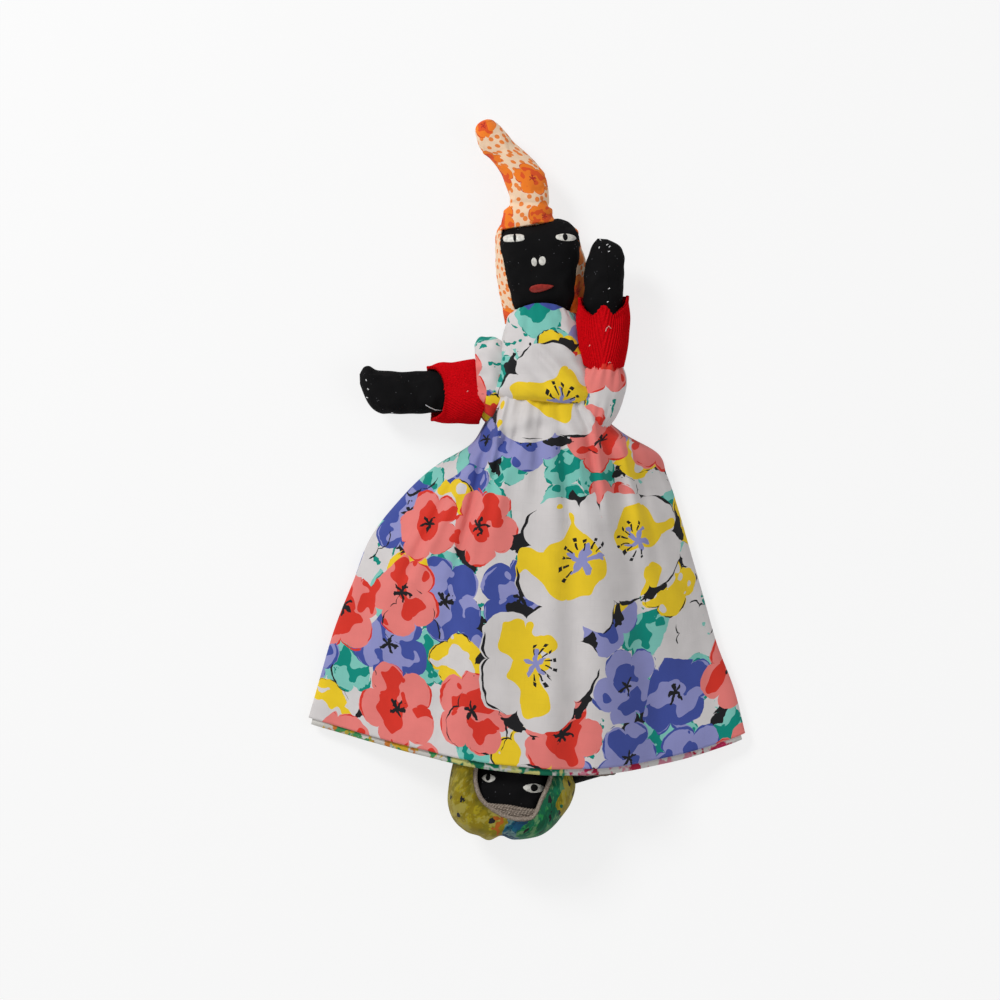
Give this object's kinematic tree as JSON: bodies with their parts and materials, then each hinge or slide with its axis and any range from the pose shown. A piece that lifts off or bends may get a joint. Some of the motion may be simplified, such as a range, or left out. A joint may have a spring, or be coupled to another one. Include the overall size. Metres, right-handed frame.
{
  "type": "rag doll",
  "caption": "Stuffed cloth topsy-turvy doll with two heads, jointed arms and a reversible floral skirt, lying on its back",
  "frame": {"origin": "on the flat back of the skirt that rests on the table, under the doll's body", "axes": "+Y towards the upper doll's head, +Z out of the front of the doll, +X to the doll's left for the upper doll"},
  "size_m": [0.215, 0.3525, 0.0382],
  "materials": {
    "black_cotton": "matte black woven cotton",
    "body_cotton": "matte black woven cotton",
    "dress_print": "white cotton with a large multicolour floral print",
    "lining_print": "cotton with a mottled green, yellow and pink print",
    "orange_scarf_print": "cream cotton with orange flowers and dots",
    "bonnet_print": "cotton with a mottled mustard, green and blue print",
    "red_knit": "red fine rib knit",
    "grey_knit": "grey-brown rib knit",
    "hair_yarn": "grey-brown twisted yarn",
    "stuffing": "white fibre stuffing",
    "white_paint": "raised white fabric paint",
    "black_paint": "raised black fabric paint",
    "red_paint": "raised glossy red fabric paint"
  },
  "bodies": {
    "root": {"skirt": "dress_print", "skirt_lining": "lining_print", "lower_torso": "body_cotton", "lower_torso_stuffing": "stuffing", "lower_bodice": "lining_print"},
    "upper_half": {"upper_torso": "body_cotton", "upper_torso_stuffing": "stuffing", "upper_bodice": "dress_print"},
    "upper_head_body": {"upper_head": "black_cotton", "upper_head_stuffing": "stuffing", "upper_headscarf": "orange_scarf_print", "upper_right_eye": "white_paint", "upper_right_pupil": "black_paint", "upper_right_nostril": "white_paint", "upper_left_eye": "white_paint", "upper_left_pupil": "black_paint", "upper_left_nostril": "white_paint", "upper_lips": "red_paint"},
    "peak_body": {"scarf_peak": "orange_scarf_print"},
    "lower_head_body": {"lower_head": "black_cotton", "lower_head_stuffing": "stuffing", "lower_headscarf": "bonnet_print", "lower_hair_edge": "hair_yarn", "lower_fringe_1": "hair_yarn", "lower_fringe_2": "hair_yarn", "lower_fringe_3": "hair_yarn", "lower_fringe_4": "hair_yarn", "lower_fringe_5": "hair_yarn", "lower_right_eye": "white_paint", "lower_right_pupil": "black_paint", "lower_right_nostril": "white_paint", "lower_left_eye": "white_paint", "lower_left_pupil": "black_paint", "lower_left_nostril": "white_paint", "lower_lips": "red_paint"},
    "upper_right_shoulder_body": {"upper_right_shoulder": "black_cotton", "upper_right_cap_sleeve": "dress_print"},
    "upper_right_arm_body": {"upper_right_arm": "black_cotton", "upper_right_arm_stuffing": "stuffing", "upper_right_cuff": "red_knit"},
    "lower_right_arm_body": {"lower_right_shoulder": "black_cotton", "lower_right_arm": "black_cotton", "lower_right_arm_stuffing": "stuffing", "lower_right_cuff": "grey_knit"},
    "upper_left_shoulder_body": {"upper_left_shoulder": "black_cotton", "upper_left_cap_sleeve": "dress_print"},
    "upper_left_arm_body": {"upper_left_arm": "black_cotton", "upper_left_arm_stuffing": "stuffing", "upper_left_cuff": "red_knit"},
    "lower_left_arm_body": {"lower_left_shoulder": "black_cotton", "lower_left_arm": "black_cotton", "lower_left_arm_stuffing": "stuffing", "lower_left_cuff": "grey_knit"}
  },
  "joints": [
    {"name": "waist_bend", "type": "hinge", "parent": "root", "child": "upper_half", "pos_m": [0.006, 0.0375, 0.017], "axis": [1, 0, 0], "range_deg": [-5, 15]},
    {"name": "upper_neck_nod", "type": "hinge", "parent": "upper_half", "child": "upper_head_body", "pos_m": [0.0036, 0.079, 0.0133], "axis": [1, 0, 0], "range_deg": [-12, 8]},
    {"name": "scarf_peak_flop", "type": "hinge", "parent": "upper_head_body", "child": "peak_body", "pos_m": [-0.00717, 0.12607, 0.0133], "axis": [0, 0, 1], "range_deg": [-9, 9]},
    {"name": "upper_right_swing", "type": "hinge", "parent": "upper_half", "child": "upper_right_shoulder_body", "pos_m": [-0.02311, 0.048, 0.0125], "axis": [0, 0, 1], "range_deg": [-40, 4], "deforming": ["upper_right_cap_sleeve"]},
    {"name": "upper_right_lift", "type": "hinge", "parent": "upper_right_shoulder_body", "child": "upper_right_arm_body", "pos_m": [-0.02926, 0.04724, 0.0153], "axis": [-0.1219, 0.9925, 0], "range_deg": [0, 60], "deforming": ["upper_right_cuff"]},
    {"name": "upper_left_swing", "type": "hinge", "parent": "upper_half", "child": "upper_left_shoulder_body", "pos_m": [0.03389, 0.048, 0.0195], "axis": [0, 0, 1], "range_deg": [-70, 0], "deforming": ["upper_left_cap_sleeve"]},
    {"name": "upper_left_lift", "type": "hinge", "parent": "upper_left_shoulder_body", "child": "upper_left_arm_body", "pos_m": [0.03402, 0.0542, 0.0223], "axis": [0.9998, -0.0209, 0], "range_deg": [0, 60], "deforming": ["upper_left_cuff"]},
    {"name": "lower_head_lean", "type": "hinge", "parent": "root", "child": "lower_head_body", "pos_m": [0.003, -0.1235, 0.0167], "axis": [0, 0, 1], "range_deg": [-5, 0]},
    {"name": "lower_right_swing", "type": "hinge", "parent": "root", "child": "lower_right_arm_body", "pos_m": [0.02916, -0.088, 0.0178], "axis": [0, 0, 1], "range_deg": [0, 5], "deforming": ["lower_right_cuff"]},
    {"name": "lower_left_swing", "type": "hinge", "parent": "root", "child": "lower_left_arm_body", "pos_m": [-0.02184, -0.088, 0.0122], "axis": [0, 0, 1], "range_deg": [0, 5], "deforming": ["lower_left_cuff"]}
  ]
}
